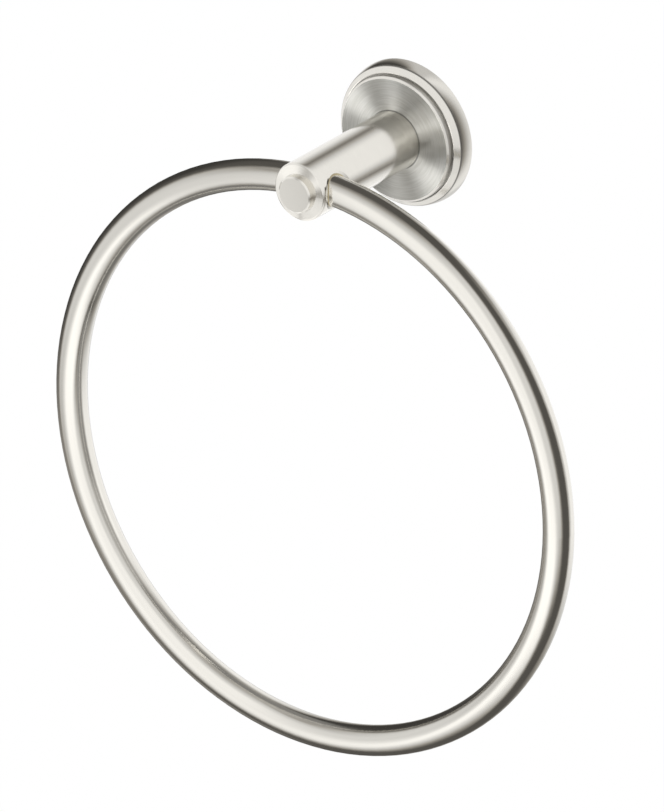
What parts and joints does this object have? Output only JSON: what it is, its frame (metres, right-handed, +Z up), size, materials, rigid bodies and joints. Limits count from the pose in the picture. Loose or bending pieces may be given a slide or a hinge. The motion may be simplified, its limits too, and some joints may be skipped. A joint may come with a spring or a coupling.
{
  "type": "towel ring",
  "caption": "Round wall-mounted towel ring: a closed bar ring that swings in the bored nose of a turned post, on a stepped round rose.",
  "frame": {"origin": "where the post's axis meets the wall, midway between the two wall screw holes", "axes": "+Z up, +Y into the wall, so the post points along -Y, and +X to the right of someone facing the wall"},
  "size_m": [0.2, 0.062, 0.2189],
  "materials": {
    "brushed_nickel": "satin nickel plate over brass, brushed round the turned faces",
    "zinc_plate": "bright zinc plate over turned steel",
    "screw_steel": "plain stainless steel"
  },
  "bodies": {
    "bracket": {"rose": "brushed_nickel", "post": "brushed_nickel", "wall_plate": "zinc_plate", "grub_screw": "screw_steel", "post_screw": "screw_steel", "post_washer": "screw_steel"},
    "ring": {"ring": "brushed_nickel"}
  },
  "joints": [
    {"name": "ring_swing", "type": "hinge", "parent": "bracket", "child": "ring", "pos_m": [0, -0.05156, 0.00027], "axis": [1, 0, 0], "range_deg": [-165, 14]}
  ]
}
